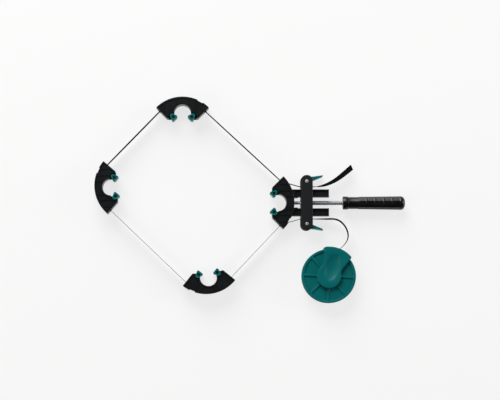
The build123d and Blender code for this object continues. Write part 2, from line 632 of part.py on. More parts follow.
# Pivot pins, cam levers and their springs, one set on each side of the rails
for side_name, side in (("upper", 1), ("lower", -1)):
    with BuildPart() as lever_pin:
        with BuildSketch(Plane.XY):
            with Locations((CROSSBAR_X, side * PIN_Y)):
                Circle(PIN_RADIUS)
        extrude(amount=JAW_HEIGHT)
        with BuildSketch(Plane.XY.offset(JAW_HEIGHT)):
            with Locations((CROSSBAR_X, side * PIN_Y)):
                Circle(PIN_HEAD_RADIUS)
        extrude(amount=PIN_HEAD_HEIGHT)
        fillet(lever_pin.edges().group_by(Axis.Z)[-1], PIN_HEAD_ROUND)
    finish(lever_pin.part, f"lever_pin_{side_name}")

    lever_plane = Plane(origin=(CROSSBAR_X, side * PIN_Y, LEVER_BOTTOM), z_dir=(0, 0, 1))
    cam_centre = polar(CAM_THROW, CAM_THROW_ANGLE)
    with BuildPart(lever_plane) as cam_lever:
        with BuildSketch(lever_plane):
            with Locations((cam_centre[0], side * cam_centre[1])):
                Circle(CAM_RADIUS)
            tail = (
                (cam_centre[0], LEVER_NECK_RISE),
                (LEVER_ROOT_REACH, LEVER_ROOT_RISE),
                (LEVER_TIP_REACH, LEVER_TIP_RISE),
                (LEVER_TIP_REACH - LEVER_TIP_SLANT, LEVER_TIP_RISE - LEVER_TIP_WIDTH),
                (LEVER_ROOT_REACH + LEVER_TIP_WIDTH, LEVER_ROOT_RISE - LEVER_ROOT_WIDTH),
                (cam_centre[0], cam_centre[1]),
            )
            Polygon(*[(x, side * y) for x, y in tail], align=None)
            for n in range(CAM_TEETH):
                tooth = CAM_TEETH_MIDDLE + (n - (CAM_TEETH - 1) / 2) * CAM_TOOTH_PITCH
                x, y = polar(CAM_RADIUS, tooth)
                with Locations((cam_centre[0] + x, side * (cam_centre[1] + y))):
                    Circle(CAM_TOOTH_DEPTH, mode=Mode.SUBTRACT)
            for n in range(LEVER_GRIP_GROOVES):
                share = (n + LEVER_GRIP_START) / (LEVER_GRIP_GROOVES + LEVER_GRIP_START)
                x = LEVER_ROOT_REACH + (LEVER_TIP_REACH - LEVER_ROOT_REACH) * share
                y = LEVER_ROOT_RISE + (LEVER_TIP_RISE - LEVER_ROOT_RISE) * share
                with Locations((x, side * y)):
                    Circle(LEVER_GRIP_DEPTH, mode=Mode.SUBTRACT)
            Circle(PIN_RADIUS + RUNNING_CLEARANCE, mode=Mode.SUBTRACT)
        extrude(amount=LEVER_HEIGHT)
    finish(cam_lever.part, f"cam_lever_{side_name}")

    with BuildPart() as lever_spring:
        for turn in range(SPRING_TURNS):
            wire_middle = SPRING_BOTTOM + (turn + 0.5) * SPRING_WIRE
            with Locations((CROSSBAR_X, side * PIN_Y, wire_middle)):
                Torus(SPRING_RADIUS, SPRING_WIRE / 2)
    finish(lever_spring.part, f"lever_spring_{side_name}")

# Spindle: a pilot with a keeper's groove, then the threaded length
with BuildPart() as spindle:
    spindle_end = HANDLE_START + SPINDLE_IN_HANDLE
    with BuildSketch(Plane.XZ):
        with BuildLine():
            Polyline(
                (PILOT_TIP, MID),
                (PILOT_TIP, MID + PILOT_RADIUS),
                (KEEPER_X - GROOVE_WIDTH / 2, MID + PILOT_RADIUS),
                (KEEPER_X - GROOVE_WIDTH / 2, MID + GROOVE_RADIUS),
                (KEEPER_X + GROOVE_WIDTH / 2, MID + GROOVE_RADIUS),
                (KEEPER_X + GROOVE_WIDTH / 2, MID + PILOT_RADIUS),
                (CROSSBAR_NEAR, MID + PILOT_RADIUS),
                (CROSSBAR_NEAR + SPINDLE_RADIUS - PILOT_RADIUS, MID + SPINDLE_RADIUS),
                (spindle_end, MID + SPINDLE_RADIUS),
                (spindle_end, MID),
                close=True,
            )
        make_face()
    revolve(axis=Axis((0, 0, MID), (1, 0, 0)))
finish(spindle.part, "spindle")

with BuildPart() as thrust_disc:
    with BuildSketch(Plane.YZ.offset(BRIDGE_BACK - SEAT_DEPTH)):
        with Locations((0, MID)):
            Circle(PILOT_RADIUS)
    extrude(amount=THRUST_DISC_THICKNESS)
finish(thrust_disc.part, "thrust_disc")

with BuildPart() as keeper_pin:
    with BuildSketch(Plane.XY.offset(KEEPER_BOTTOM)):
        with Locations((KEEPER_X, KEEPER_Y)):
            Circle(KEEPER_RADIUS)
    extrude(amount=KEEPER_TOP - KEEPER_BOTTOM)
finish(keeper_pin.part, "keeper_pin")

# Handle: collar, neck and a fluted body with a rounded end
with BuildPart() as handle:
    handle_end = HANDLE_START + HANDLE_LENGTH
    neck_end = HANDLE_START + COLLAR_LENGTH + NECK_LENGTH
    with BuildSketch(Plane.XZ) as handle_profile:
        with BuildLine():
            Polyline(
                (HANDLE_START, MID),
                (HANDLE_START, MID + COLLAR_RADIUS),
                (HANDLE_START + COLLAR_LENGTH, MID + COLLAR_RADIUS),
                (HANDLE_START + COLLAR_LENGTH, MID + NECK_RADIUS),
                (neck_end, MID + NECK_RADIUS),
                (handle_end - HANDLE_END_ROUND, MID + BODY_RADIUS),
                (handle_end, MID + BODY_RADIUS - HANDLE_END_ROUND),
                (handle_end, MID),
                close=True,
            )
        make_face()
    revolve(axis=Axis((0, 0, MID), (1, 0, 0)))
    circles = handle.edges().filter_by(GeomType.CIRCLE).group_by(Axis.X)
    fillet(circles[-2], HANDLE_END_BLEND)
    fillet(circles[0].sort_by(SortBy.RADIUS)[-1], COLLAR_ROUND)
    for row in range(FLUTE_ROWS):
        flute_x = HANDLE_START + FLUTE_START + (row + 0.5) * FLUTE_PITCH
        grown = (flute_x - neck_end) / (handle_end - HANDLE_END_ROUND - neck_end)
        surface = NECK_RADIUS + (BODY_RADIUS - NECK_RADIUS) * grown
        for n in range(FLUTE_COUNT):
            angle = (n + 0.5) * 360.0 / FLUTE_COUNT
            y, z = polar(surface + BODY_RADIUS - FLUTE_DEPTH, angle)
            with Locations(Location((flute_x, y, MID + z), (angle, 0, 0))):
                Box(FLUTE_LENGTH, 2 * BODY_RADIUS, BODY_RADIUS * 2, mode=Mode.SUBTRACT)
    with BuildSketch(Plane.YZ.offset(HANDLE_START)):
        with Locations((0, MID)):
            Circle(SPINDLE_RADIUS)
    extrude(amount=SPINDLE_IN_HANDLE, mode=Mode.SUBTRACT)
finish(handle.part, "handle")

# Reel: a drum with its rear flange, a ribbed front flange, and the wound strap
reel_plane = Plane(origin=(*REEL_PLACE, 0))
with BuildPart(reel_plane) as reel_drum:
    with BuildSketch(reel_plane.offset(SPOOL_BOTTOM)):
        Circle(FLANGE_RADIUS)
    extrude(amount=REAR_FLANGE_TOP - SPOOL_BOTTOM)
    with BuildSketch(reel_plane.offset(SPOOL_BOTTOM)):
        Circle(REEL_HUB_RADIUS)
    extrude(amount=FRONT_FLANGE_BOTTOM - SPOOL_BOTTOM)
    with BuildSketch(reel_plane.offset(SPOOL_BOTTOM)):
        Circle(AXLE_RADIUS + RUNNING_CLEARANCE)
    extrude(amount=FRONT_FLANGE_BOTTOM - SPOOL_BOTTOM, mode=Mode.SUBTRACT)
finish(reel_drum.part, "reel_drum")

with BuildPart(reel_plane) as reel_front_flange:
    with BuildSketch(reel_plane.offset(FRONT_FLANGE_BOTTOM)):
        Circle(FLANGE_RADIUS)
        Circle(AXLE_RADIUS + RUNNING_CLEARANCE, mode=Mode.SUBTRACT)
    extrude(amount=FLANGE_THICKNESS)
    with BuildSketch(reel_plane.offset(FRONT_FLANGE_BOTTOM + FLANGE_THICKNESS)):
        Circle(FLANGE_RADIUS)
        Circle(FLANGE_RADIUS - REEL_RIM_WIDTH, mode=Mode.SUBTRACT)
        with PolarLocations(FLANGE_RADIUS / 2, REEL_RIB_COUNT, start_angle=REEL_RIB_TURN):
            Rectangle(FLANGE_RADIUS - REEL_RIM_WIDTH / 2, REEL_RIB_WIDTH)
        Circle(REEL_HUB_RADIUS, mode=Mode.ADD)
        Circle(AXLE_RADIUS + RUNNING_CLEARANCE, mode=Mode.SUBTRACT)
    extrude(amount=REEL_RIB_HEIGHT)
    fillet(reel_front_flange.edges().group_by(Axis.Z)[-1], REEL_RIB_ROUND)
finish(reel_front_flange.part, "reel_front_flange")

with BuildPart(reel_plane) as strap_coil:
    with BuildSketch(reel_plane.offset(STRAP_BOTTOM)):
        Circle(COIL_RADIUS)
        Circle(REEL_HUB_RADIUS, mode=Mode.SUBTRACT)
    extrude(amount=STRAP_WIDTH)
finish(strap_coil.part, "strap_coil")

# Strap guide: two shells that hold the reel's axle and reach round its rim


def guide_outline():
    """The guide from above: a round boss with a fan that reaches over the rim."""
    with BuildSketch() as outline:
        with BuildLine():
            rim = CenterArc((0, 0), GUIDE_RADIUS, GUIDE_START, GUIDE_END - GUIDE_START)
            boss = CenterArc(
                (0, 0), BOSS_RADIUS, BOSS_JOIN_END, 360.0 + BOSS_JOIN_START - BOSS_JOIN_END
            )
            Line(rim @ 1, boss @ 0)
            Line(boss @ 1, rim @ 0)
        make_face()
        corners = outline.vertices().sort_by_distance((0, 0, 0))
        fillet(corners[:2], BOSS_BLEND)
        fillet(outline.vertices().sort_by_distance((0, 0, 0))[-2:], FAN_CORNER)
    return outline.sketch


# The strap comes in through a slot in the rim and turns on to the coil
feed_back, slot_point = FEED_END[-2:]
feed_length = hypot(slot_point[0] - feed_back[0], slot_point[1] - feed_back[1])
feed_way = (
    (slot_point[0] - feed_back[0]) / feed_length,
    (slot_point[1] - feed_back[1]) / feed_length,
)
slot_start = (slot_point[0] - feed_way[0] * GUIDE_WALL, slot_point[1] - feed_way[1] * GUIDE_WALL)
slot_end = (
    slot_point[0] + feed_way[0] * 2 * GUIDE_WALL,
    slot_point[1] + feed_way[1] * 2 * GUIDE_WALL,
)
# Radius of the arc that starts along the feed and touches the coil from outside
lead_side = (feed_way[1], -feed_way[0])
coil_touch = COIL_RADIUS + STRAP_THICKNESS / 2 + COIL_CLEARANCE
reach_squared = slot_point[0] ** 2 + slot_point[1] ** 2
side_reach = slot_point[0] * lead_side[0] + slot_point[1] * lead_side[1]
lead_radius = (reach_squared - coil_touch**2) / (2 * (coil_touch - side_reach))
lead_centre = (
    slot_point[0] + lead_side[0] * lead_radius,
    slot_point[1] + lead_side[1] * lead_radius,
)
lead_start = degrees(atan2(slot_point[1] - lead_centre[1], slot_point[0] - lead_centre[0]))
lead_finish = degrees(atan2(-lead_centre[1], -lead_centre[0]))

with BuildPart(reel_plane) as strap_lead:
    with BuildSketch(reel_plane.offset(STRAP_BOTTOM)):
        with BuildLine():
            CenterArc(lead_centre, lead_radius, lead_start, lead_finish - lead_start)
        trace(line_width=STRAP_THICKNESS)
    extrude(amount=STRAP_WIDTH)
finish(strap_lead.part, "strap_lead")

with BuildPart(reel_plane) as reel_guide_rear:
    with BuildSketch(reel_plane):
        add(guide_outline())
    extrude(amount=GUIDE_PLATE)
    with BuildSketch(reel_plane):
        add(arc_band(GUIDE_INNER, GUIDE_RADIUS, WALL_START, WALL_END))
    extrude(amount=MID)
    with BuildSketch(reel_plane):
        Circle(AXLE_RADIUS)
    extrude(amount=GUIDE_TOP_BOTTOM)
    with BuildSketch(reel_plane.offset(CHANNEL_BOTTOM)):
        Polygon(*strip(slot_start, slot_end, EXIT_SLOT_WIDTH), align=None)
    extrude(amount=CHANNEL_HEIGHT, mode=Mode.SUBTRACT)
    with BuildSketch(reel_plane):
        Circle(REEL_SCREW_HEAD)
    extrude(amount=GUIDE_PLATE, mode=Mode.SUBTRACT)
    with BuildSketch(reel_plane):
        Circle(REEL_SCREW_RADIUS)
    extrude(amount=GUIDE_TOP_BOTTOM, mode=Mode.SUBTRACT)
finish(reel_guide_rear.part, "reel_guide_rear")

# The finger's dish is the underside of a long ball that dips into the top
dish_plane = Plane(
    origin=reel_plane.from_local_coords((*DISH_PLACE, GUIDE_TOP_BOTTOM + GUIDE_TOP_THICKNESS + DISH_RISE)),
    x_dir=(*polar(1.0, DISH_TURN), 0),
    z_dir=(*polar(1.0, DISH_TURN - 90.0), 0),
)
with BuildPart(reel_plane) as reel_guide_front:
    with BuildSketch(reel_plane.offset(GUIDE_TOP_BOTTOM)):
        add(guide_outline())
    extrude(amount=GUIDE_TOP_THICKNESS)
    with BuildSketch(reel_plane.offset(MID)):
        add(arc_band(GUIDE_INNER, GUIDE_RADIUS, WALL_START, WALL_END))
    extrude(amount=GUIDE_TOP_BOTTOM - MID)
    fillet(reel_guide_front.edges().group_by(Axis.Z)[-1], GUIDE_EDGE_ROUND)
    with BuildSketch(dish_plane):
        with BuildLine():
            bowl = EllipticalCenterArc((0, 0), DISH_HALF, DISH_ROUND, 180, arc_size=180)
            Line(bowl @ 1, bowl @ 0)
        make_face()
    revolve(axis=Axis(dish_plane.origin, dish_plane.x_dir), mode=Mode.SUBTRACT)
    with BuildSketch(reel_plane.offset(CHANNEL_BOTTOM)):
        Polygon(*strip(slot_start, slot_end, EXIT_SLOT_WIDTH), align=None)
    extrude(amount=CHANNEL_HEIGHT, mode=Mode.SUBTRACT)
    with BuildSketch(reel_plane.offset(GUIDE_TOP_BOTTOM)):
        Circle(REEL_SCREW_RADIUS)
    extrude(amount=REEL_SCREW_GRIP, mode=Mode.SUBTRACT)
finish(reel_guide_front.part, "reel_guide_front")

with BuildPart(reel_plane) as reel_screw:
    with BuildSketch(reel_plane.offset(REEL_SCREW_SUNK)):
        Circle(REEL_SCREW_HEAD)
    extrude(amount=GUIDE_PLATE - REEL_SCREW_SUNK)
    with BuildSketch(reel_plane.offset(GUIDE_PLATE)):
        Circle(REEL_SCREW_RADIUS)
    extrude(amount=GUIDE_TOP_BOTTOM + REEL_SCREW_GRIP - GUIDE_PLATE)
finish(reel_screw.part, "reel_screw")
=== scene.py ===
"""The looks of a frame strap clamp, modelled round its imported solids.

The clamp lies flat, with its strap loop in the plane of the floor: four corner
jaws with swivelling pads, a screw tensioner with two cam levers, and a reel that
holds the spare strap. Sizes are in millimetres unless a name says otherwise.
"""

import json
import logging
import math
from dataclasses import dataclass, field
from enum import Enum

import bpy
from mathutils import Matrix, Vector

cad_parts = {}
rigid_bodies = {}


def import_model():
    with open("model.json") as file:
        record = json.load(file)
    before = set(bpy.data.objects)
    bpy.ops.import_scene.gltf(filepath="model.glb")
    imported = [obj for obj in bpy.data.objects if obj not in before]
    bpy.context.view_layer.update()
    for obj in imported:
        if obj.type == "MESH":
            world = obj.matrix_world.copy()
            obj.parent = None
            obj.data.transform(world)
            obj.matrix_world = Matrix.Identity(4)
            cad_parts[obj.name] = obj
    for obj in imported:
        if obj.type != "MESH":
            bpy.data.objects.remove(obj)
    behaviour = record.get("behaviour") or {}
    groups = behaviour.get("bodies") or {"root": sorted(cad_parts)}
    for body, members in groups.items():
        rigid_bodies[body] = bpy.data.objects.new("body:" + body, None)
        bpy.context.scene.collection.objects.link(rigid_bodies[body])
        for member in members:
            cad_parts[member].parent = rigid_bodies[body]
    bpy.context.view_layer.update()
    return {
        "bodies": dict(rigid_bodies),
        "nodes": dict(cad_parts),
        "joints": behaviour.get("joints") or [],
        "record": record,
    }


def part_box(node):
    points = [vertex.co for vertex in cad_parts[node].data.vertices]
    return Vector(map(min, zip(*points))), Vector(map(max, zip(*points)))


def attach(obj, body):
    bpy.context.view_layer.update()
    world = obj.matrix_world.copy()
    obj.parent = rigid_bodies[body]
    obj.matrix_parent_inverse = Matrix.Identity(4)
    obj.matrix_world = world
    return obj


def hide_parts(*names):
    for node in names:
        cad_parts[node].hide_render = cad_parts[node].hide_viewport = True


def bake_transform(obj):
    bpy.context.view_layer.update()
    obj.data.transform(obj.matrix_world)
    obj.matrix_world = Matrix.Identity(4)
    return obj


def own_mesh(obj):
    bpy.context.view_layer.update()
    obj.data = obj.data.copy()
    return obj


MM = 0.001
# most of a noise texture's values lie between these two
NOISE_LOW, NOISE_HIGH = 0.3, 0.7
log = logging.getLogger("strap_clamp")


# Colour and nodes


def srgb(hex_code: str) -> tuple[float, float, float, float]:
    """Turn an sRGB hex colour into the linear colour that a shader takes.

    Args:
        hex_code: Six hex digits, such as "1c1f20".

    Returns:
        Red, green, blue and alpha, linear.
    """
    parts = [int(hex_code[i : i + 2], 16) / 255 for i in (0, 2, 4)]
    linear = [c / 12.92 if c <= 0.04045 else ((c + 0.055) / 1.055) ** 2.4 for c in parts]
    return (linear[0], linear[1], linear[2], 1.0)


def add_node(
    tree: bpy.types.NodeTree,
    kind: str,
    settings: dict | None = None,
    inputs: dict | None = None,
) -> bpy.types.Node:
    """Add one shader node, with its settings and what feeds it.

    Args:
        tree: The material's node tree.
        kind: The node's type, such as "ShaderNodeBump".
        settings: Properties of the node itself.
        inputs: Values, or output sockets, for its input sockets by name or place.

    Returns:
        The new node.
    """
    made = tree.nodes.new(kind)
    for name, value in (settings or {}).items():
        setattr(made, name, value)
    for name, value in (inputs or {}).items():
        if isinstance(value, bpy.types.NodeSocket):
            tree.links.new(value, made.inputs[name])
        else:
            made.inputs[name].default_value = value
    return made


def new_material(name: str) -> tuple[bpy.types.Material, bpy.types.NodeTree, bpy.types.Node]:
    """Start a node material.

    Args:
        name: The finish that the material is named for.

    Returns:
        The material, its node tree and its surface shader.
    """
    material = bpy.data.materials.new(name)
    material.use_nodes = True
    tree = material.node_tree
    tree.nodes.clear()
    shader = add_node(tree, "ShaderNodeBsdfPrincipled")
    add_node(tree, "ShaderNodeOutputMaterial", inputs={"Surface": shader.outputs[0]})
    return material, tree, shader


@dataclass(frozen=True)
class MouldedPlastic:
    """A moulded plastic: an even colour, a satin or gloss skin and a fine mould grain."""

    name: str
    colour: str
    worn: str
    roughness: float
    grain_mm: float
    relief_mm: float
    ior: float
    patch_mm: float = 25.0
    gloss_range: tuple[float, float] = (0.88, 1.12)

    def material(self) -> bpy.types.Material:
        """Build the plastic's material.

        The mould's spark-eroded grain breaks up the gloss, and slow patches vary
        the colour and the gloss as handling does.

        Returns:
            The material.
        """
        material, tree, shader = new_material(self.name)
        place = add_node(tree, "ShaderNodeTexCoord").outputs["Object"]
        patches = add_node(
            tree,
            "ShaderNodeTexNoise",
            inputs={
                "Vector": place,
                "Scale": 1 / (self.patch_mm * MM),
                "Detail": 3.0,
                "Roughness": 0.6,
            },
        )
        tint = add_node(
            tree,
            "ShaderNodeMix",
            {"data_type": "RGBA"},
            {0: patches.outputs["Fac"], 6: srgb(self.colour), 7: srgb(self.worn)},
        )
        gloss = add_node(
            tree,
            "ShaderNodeMapRange",
            inputs={
                "Value": patches.outputs["Fac"],
                "From Min": NOISE_LOW,
                "From Max": NOISE_HIGH,
                "To Min": self.roughness * self.gloss_range[0],
                "To Max": self.roughness * self.gloss_range[1],
            },
        )
        grain = add_node(
            tree,
            "ShaderNodeTexNoise",
            inputs={"Vector": place, "Scale": 1 / (self.grain_mm * MM), "Detail": 2.0},
        )
        bump = add_node(
            tree,
            "ShaderNodeBump",
            inputs={
                "Height": grain.outputs["Fac"],
                "Distance": self.relief_mm * MM,
                "Strength": 1.0,
            },
        )
        tree.links.new(tint.outputs[2], shader.inputs["Base Color"])
        tree.links.new(gloss.outputs["Result"], shader.inputs["Roughness"])
        tree.links.new(bump.outputs["Normal"], shader.inputs["Normal"])
        shader.inputs["IOR"].default_value = self.ior
        return material


@dataclass(frozen=True)
class PlatedSteel:
    """Steel with a thin bright zinc plate, turned or drawn, so that it shows fine lines."""

    name: str
    colour: str
    roughness: float
    line_mm: float
    relief_mm: float
    lines_round: float = 60.0
    cloud_mm: float = 6.0
    gloss_range: tuple[float, float] = (0.8, 1.3)

    def material(self) -> bpy.types.Material:
        """Build the plated steel's material.

        Fine turning lines run round the piece, and the plate's grain clouds its gloss.

        Returns:
            The material.
        """
        material, tree, shader = new_material(self.name)
        place = add_node(tree, "ShaderNodeTexCoord").outputs["Object"]
        # lines across X, about a third of a millimetre apart: real turning lines are finer, and
        # these are drawn as coarse as they need to be to show
        lines = add_node(
            tree,
            "ShaderNodeMapping",
            inputs={
                "Vector": place,
                "Scale": (1 / (self.line_mm * MM), self.lines_round, self.lines_round),
            },
        )
        turned = add_node(
            tree,
            "ShaderNodeTexNoise",
            inputs={"Vector": lines.outputs[0], "Scale": 1.0, "Detail": 2.0},
        )
        cloud = add_node(
            tree,
            "ShaderNodeTexNoise",
            inputs={"Vector": place, "Scale": 1 / (self.cloud_mm * MM), "Detail": 3.0},
        )
        gloss = add_node(
            tree,
            "ShaderNodeMapRange",
            inputs={
                "Value": cloud.outputs["Fac"],
                "From Min": NOISE_LOW,
                "From Max": NOISE_HIGH,
                "To Min": self.roughness * self.gloss_range[0],
                "To Max": self.roughness * self.gloss_range[1],
            },
        )
        bump = add_node(
            tree,
            "ShaderNodeBump",
            inputs={
                "Height": turned.outputs["Fac"],
                "Distance": self.relief_mm * MM,
                "Strength": 1.0,
            },
        )
        shader.inputs["Base Color"].default_value = srgb(self.colour)
        shader.inputs["Metallic"].default_value = 1.0
        tree.links.new(gloss.outputs["Result"], shader.inputs["Roughness"])
        tree.links.new(bump.outputs["Normal"], shader.inputs["Normal"])
        return material


@dataclass(frozen=True)
class WovenWebbing:
    """Flat woven nylon: warp cords along the strap, crossed by a weft every millimetre or so."""

    name: str
    colour: str
    # the colour of the raised threads' tops: a painted highlight on the weave
    lit: str
    warp_mm: float
    weft_mm: float
    relief_mm: float
    fuzz_mm: float = 0.4
    fuzz_share: float = 0.3
    roughness: float = 0.62

    def material(self) -> bpy.types.Material:
        """Build the webbing's material on the strap's own UV map, which is in metres.

        Returns:
            The material.
        """
        material, tree, shader = new_material(self.name)
        along = add_node(tree, "ShaderNodeUVMap", {"uv_map": "Strap"}).outputs["UV"]
        split = add_node(tree, "ShaderNodeSeparateXYZ", inputs={0: along})
        waves = []
        for output, pitch in ((1, self.warp_mm), (0, self.weft_mm)):
            turns = add_node(
                tree,
                "ShaderNodeMath",
                {"operation": "MULTIPLY"},
                {0: split.outputs[output], 1: 2 * math.pi / (pitch * MM)},
            )
            wave = add_node(tree, "ShaderNodeMath", {"operation": "SINE"}, {0: turns.outputs[0]})
            waves.append(wave.outputs[0])
        # over and under: the two threads' waves multiplied make the plain weave
        weave = add_node(
            tree, "ShaderNodeMath", {"operation": "MULTIPLY"}, {0: waves[0], 1: waves[1]}
        )
        raised = add_node(
            tree,
            "ShaderNodeMapRange",
            inputs={"Value": weave.outputs[0], "From Min": -1.0, "From Max": 1.0},
        )
        fuzz = add_node(
            tree,
            "ShaderNodeTexNoise",
            inputs={"Vector": along, "Scale": 1 / (self.fuzz_mm * MM), "Detail": 2.0},
        )
        height = add_node(
            tree,
            "ShaderNodeMath",
            {"operation": "MULTIPLY_ADD"},
            {0: fuzz.outputs["Fac"], 1: self.fuzz_share, 2: raised.outputs["Result"]},
        )
        bump = add_node(
            tree,
            "ShaderNodeBump",
            inputs={
                "Height": height.outputs[0],
                "Distance": self.relief_mm * MM,
                "Strength": 1.0,
            },
        )
        # the raised threads take the lighter lit colour: a painted highlight on the weave's tops
        tint = add_node(
            tree,
            "ShaderNodeMix",
            {"data_type": "RGBA"},
            {0: raised.outputs["Result"], 6: srgb(self.colour), 7: srgb(self.lit)},
        )
        tree.links.new(tint.outputs[2], shader.inputs["Base Color"])
        tree.links.new(bump.outputs["Normal"], shader.inputs["Normal"])
        shader.inputs["Roughness"].default_value = self.roughness
        # loose fibres scatter light at a glancing view instead of mirroring the floor
        shader.inputs["Specular IOR Level"].default_value = 0.0
        return material


@dataclass(frozen=True)
class PowderCoat:
    """Pressed steel under black powder coat: a soft orange-peel skin with a low gloss."""

    name: str
    colour: str
    roughness: float
    peel_mm: float
    relief_mm: float

    def material(self) -> bpy.types.Material:
        """Build the powder coat's material.

        Returns:
            The material.
        """
        material, tree, shader = new_material(self.name)
        place = add_node(tree, "ShaderNodeTexCoord").outputs["Object"]
        peel = add_node(
            tree,
            "ShaderNodeTexVoronoi",
            {"feature": "SMOOTH_F1"},
            {"Vector": place, "Scale": 1 / (self.peel_mm * MM), "Smoothness": 1.0},
        )
        bump = add_node(
            tree,
            "ShaderNodeBump",
            inputs={
                "Height": peel.outputs["Distance"],
                "Distance": self.relief_mm * MM,
                "Strength": 1.0,
            },
        )
        shader.inputs["Base Color"].default_value = srgb(self.colour)
        shader.inputs["Roughness"].default_value = self.roughness
        tree.links.new(bump.outputs["Normal"], shader.inputs["Normal"])
        return material


class Finish(Enum):
    """Every finish on the clamp.

    A plastic's typical IOR of about 1.5 is lowered here until its sheen matches the object's.
    """

    # glass-filled nylon from a spark-eroded mould: charcoal black with a low, satin sheen
    BLACK_NYLON = MouldedPlastic(
        "black glass-filled nylon", "0b0e0f", "131719", 0.36, 0.45, 0.012, 1.42
    )
    # ABS from a finer mould: an even, deep green-blue with soft highlights
    TEAL_ABS = MouldedPlastic("teal moulded ABS", "006162", "006d6e", 0.36, 0.5, 0.010, 1.33)
    # tumbled cellulose: the deepest black on the clamp, with a long clear highlight
    GLOSS_GRIP = MouldedPlastic(
        "gloss black cellulose grip", "040506", "08090a", 0.29, 2.0, 0.008, 1.46
    )
    # zinc plate on rolled and turned steel: pale, a little blue, clouded where it is thicker
    ZINC_STEEL = PlatedSteel("bright zinc-plated steel", "cccdd0", 0.46, 0.35, 0.005)
    # cold-drawn wire and rod: a darker and sharper shine, with fine lines
    DRAWN_STEEL = PlatedSteel("bright drawn steel", "bdbec0", 0.26, 0.3, 0.004)
    # powder baked on pressed plate: even charcoal, its gloss broken by orange peel
    CROSSBAR_COAT = PowderCoat("black powder-coated plate", "111315", 0.42, 0.7, 0.008)
    # spun-dyed nylon in a plain weave: a matt black that swallows the light
    STRAP = WovenWebbing("black woven nylon webbing", "08090a", "121416", 1.1, 1.3, 0.10)

    def material(self) -> bpy.types.Material:
        """Find this finish's one material, which is made the first time that it is asked for.

        Returns:
            The material.
        """
        found = bpy.data.materials.get(self.value.name)
        return found or self.value.material()


def dress(piece: bpy.types.Object, finish: Finish) -> None:
    """Give a piece one finish all over.

    Args:
        piece: The mesh object.
        finish: Its finish.
    """
    piece.data.materials.clear()
    piece.data.materials.append(finish.material())


# Mesh work


def only(piece: bpy.types.Object) -> None:
    """Make a piece the one that operators act on.

    Args:
        piece: The mesh object.
    """
    bpy.ops.object.select_all(action="DESELECT")
    piece.select_set(True)
    bpy.context.view_layer.objects.active = piece


def polish(node: bpy.types.Object, crease_deg: float = 32.0) -> None:
    """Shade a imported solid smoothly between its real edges, with modifiers alone.

    Args:
        node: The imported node's object.
        crease_deg: Edges sharper than this stay crisp.
    """
    weld = node.modifiers.new("Join faces", "WELD")
    weld.merge_threshold = 0.002 * MM
    crisp = node.modifiers.new("Crisp edges", "EDGE_SPLIT")
    crisp.split_angle = math.radians(crease_deg)
    node.data.polygons.foreach_set("use_smooth", [True] * len(node.data.polygons))


def face_outwards(piece: bpy.types.Object, join_mm: float = 0.0) -> None:
    """Join a piece's doubled points, where it has any, and turn its faces outwards.

    Args:
        piece: The mesh object.
        join_mm: Points closer than this become one.
    """
    only(piece)
    bpy.ops.object.mode_set(mode="EDIT")
    bpy.ops.mesh.select_all(action="SELECT")
    if join_mm:
        bpy.ops.mesh.remove_doubles(threshold=join_mm * MM)
    bpy.ops.mesh.normals_make_consistent(inside=False)
    bpy.ops.object.mode_set(mode="OBJECT")


def settle(piece: bpy.types.Object, name: str, finish: Finish, crease_deg: float = 32.0) -> None:
    """Finish a new piece: its place goes into its mesh, and it is named, shaded and dressed.

    Args:
        piece: The mesh object.
        name: The piece's name.
        finish: Its finish.
        crease_deg: Edges sharper than this stay crisp.
    """
    only(piece)
    bpy.ops.object.transform_apply(location=True, rotation=True, scale=True)
    bpy.ops.object.shade_smooth_by_angle(angle=math.radians(crease_deg))
    piece.name = name
    piece.data.name = name
    dress(piece, finish)


